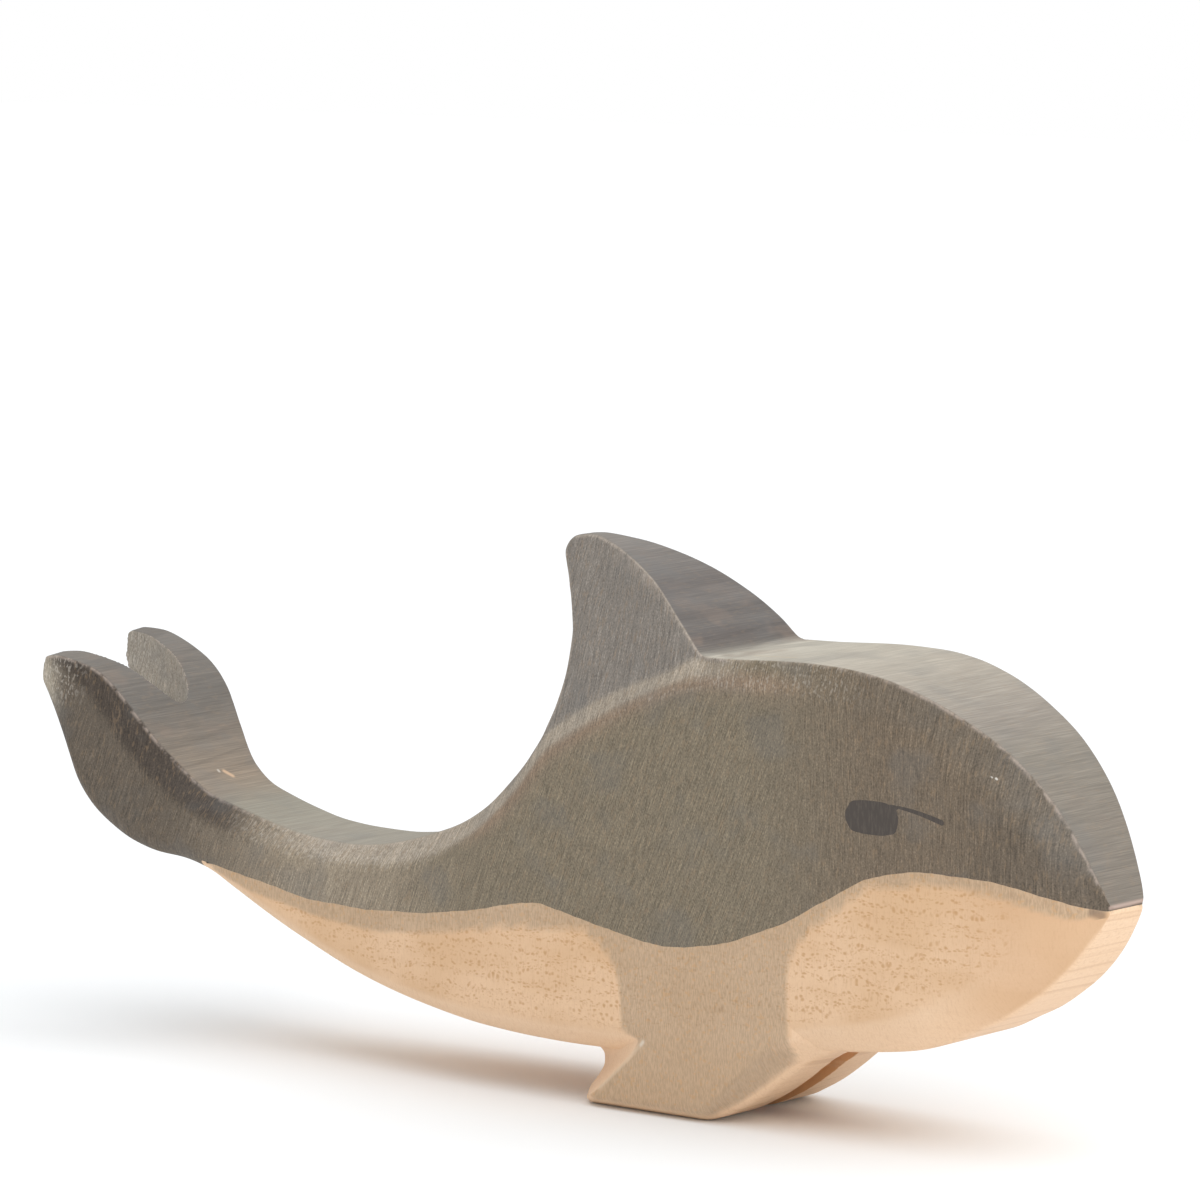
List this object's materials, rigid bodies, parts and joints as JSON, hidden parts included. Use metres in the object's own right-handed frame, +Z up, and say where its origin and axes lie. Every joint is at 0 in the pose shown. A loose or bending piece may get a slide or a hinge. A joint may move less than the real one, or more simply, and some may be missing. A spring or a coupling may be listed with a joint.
{
  "type": "wooden whale figure",
  "caption": "Carved wooden whale figure with grey stained back, bare wood belly, tall back fin, upturned tail and flippers to stand on.",
  "frame": {"origin": "on the floor, under the middle of the figure's length", "axes": "+X from tail to nose, +Y to the whale's left side, +Z up"},
  "size_m": [0.2302, 0.033, 0.0954],
  "materials": {
    "maple": "sanded and oiled quarter-sawn maple with ray flecks",
    "stain": "translucent grey stain brushed on sanded maple",
    "wash": "thin light grey wash on sanded maple",
    "paint": "thin dark grey brushed paint"
  },
  "bodies": {
    "root": {"maple_body": "maple", "grey_stain": "stain", "wash_right": "wash", "wash_left": "wash", "eye_mark_right": "paint", "eye_mark_left": "paint"}
  },
  "joints": []
}
